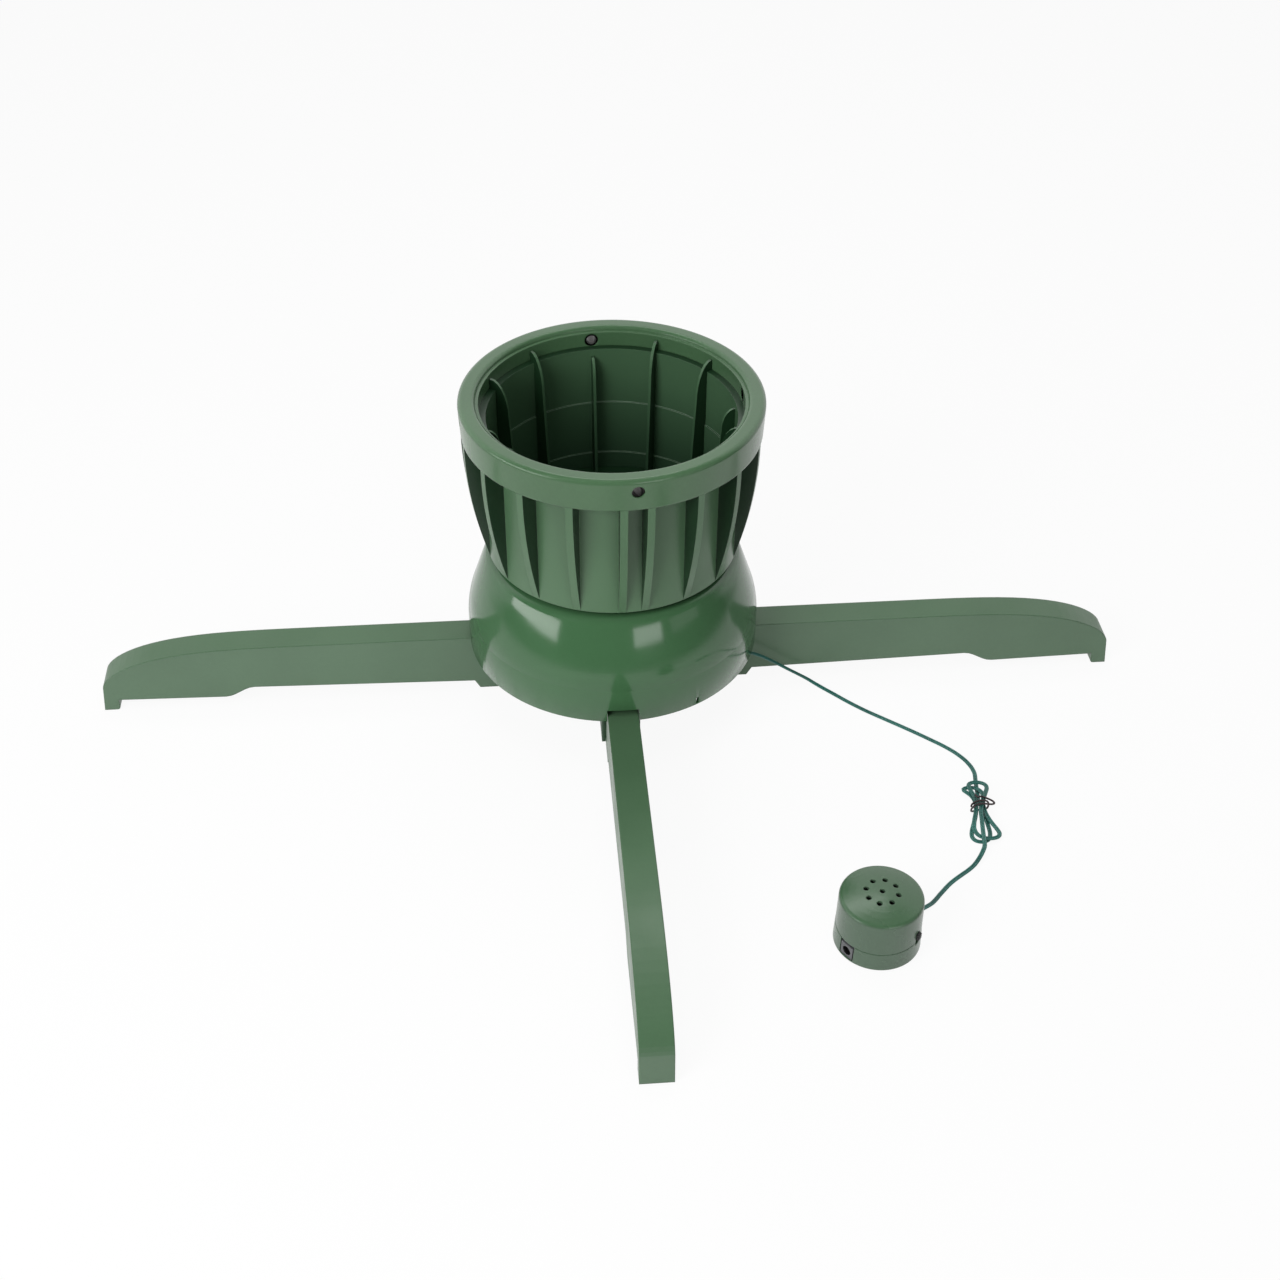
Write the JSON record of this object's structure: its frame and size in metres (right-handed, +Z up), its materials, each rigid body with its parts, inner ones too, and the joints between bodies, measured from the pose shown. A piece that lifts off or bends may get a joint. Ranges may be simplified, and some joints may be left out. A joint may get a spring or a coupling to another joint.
{
  "type": "rotating christmas tree stand",
  "caption": "Tree stand whose finned bucket turns on a motor-driven ball race above a domed base with plug-in legs, with a small music pod on a tied lead.",
  "frame": {"origin": "on the floor, on the axis that the bucket turns about", "axes": "+Z up along the bucket's axis, the four legs along X and Y, the pictured front leg along -Y, the pod towards +X and -Y"},
  "size_m": [0.726, 0.726, 0.2388],
  "materials": {
    "bucket_green": "satin",
    "gloss_green": "gloss",
    "leg_green": "satin",
    "pan_green": "matte",
    "pod_green": "satin",
    "steel": "satin",
    "bright_steel": "polished",
    "bronze": "satin",
    "gear_white": "satin",
    "cage_tan": "satin",
    "black_plastic": "satin",
    "tie_wire": "satin",
    "cord_green": "satin",
    "board_green": "satin",
    "cone_black": "matte"
  },
  "bodies": {
    "stand_base": {"base_pan": "pan_green", "dome_cover": "gloss_green", "leg_front": "leg_green", "leg_right": "leg_green", "leg_back": "leg_green", "leg_left": "leg_green", "leg_screws": "steel", "cover_screws": "steel", "spindle_bolt": "steel", "spindle_washer": "steel", "spindle_nut": "steel", "lower_race": "bright_steel", "drive_motor": "steel", "motor_screws": "steel", "cord_grommet": "black_plastic", "inner_lead": "cord_green", "pod_base": "pod_green", "pod_cap": "pod_green", "speaker_basket": "steel", "speaker_cone": "cone_black", "circuit_board": "board_green", "dc_jack": "black_plastic", "jack_pin": "bright_steel", "switch_body": "steel", "pod_screws": "steel", "pod_grommet": "black_plastic", "cord_lead_stand": "cord_green", "cord_hank": "cord_green", "cord_lead_pod": "cord_green", "twist_tie": "tie_wire"},
    "bucket_body": {"bucket": "bucket_green", "bucket_floor": "bucket_green", "rim_collar": "bucket_green", "threaded_inserts": "bright_steel", "bucket_screws": "steel", "drive_gear": "gear_white", "upper_race": "bright_steel", "spindle_bush": "bronze"},
    "ball_ring": {"ball_cage": "cage_tan", "bearing_balls": "bright_steel"},
    "motor_pinion": {"pinion": "gear_white", "motor_shaft": "bright_steel"},
    "switch_slider": {"switch_knob": "black_plastic"}
  },
  "joints": [
    {"name": "bucket_turn", "type": "hinge", "parent": "stand_base", "child": "bucket_body", "pos_m": [0, 0, 0.09], "axis": [0, 0, 1], "continuous": true},
    {"name": "ball_roll", "type": "hinge", "parent": "stand_base", "child": "ball_ring", "pos_m": [0, 0, 0.0892], "axis": [0, 0, 1], "continuous": true},
    {"name": "pinion_spin", "type": "hinge", "parent": "stand_base", "child": "motor_pinion", "pos_m": [0.04773, -0.04773, 0.096], "axis": [0, 0, 1], "continuous": true},
    {"name": "switch_slide", "type": "slide", "parent": "stand_base", "child": "switch_slider", "axis": [0, 0, 1], "range_m": [-0.004, 0]}
  ],
  "couplings": [
    {"joint": "ball_roll", "follows": "bucket_turn", "ratio": 0.5},
    {"joint": "pinion_spin", "follows": "bucket_turn", "ratio": -5}
  ]
}
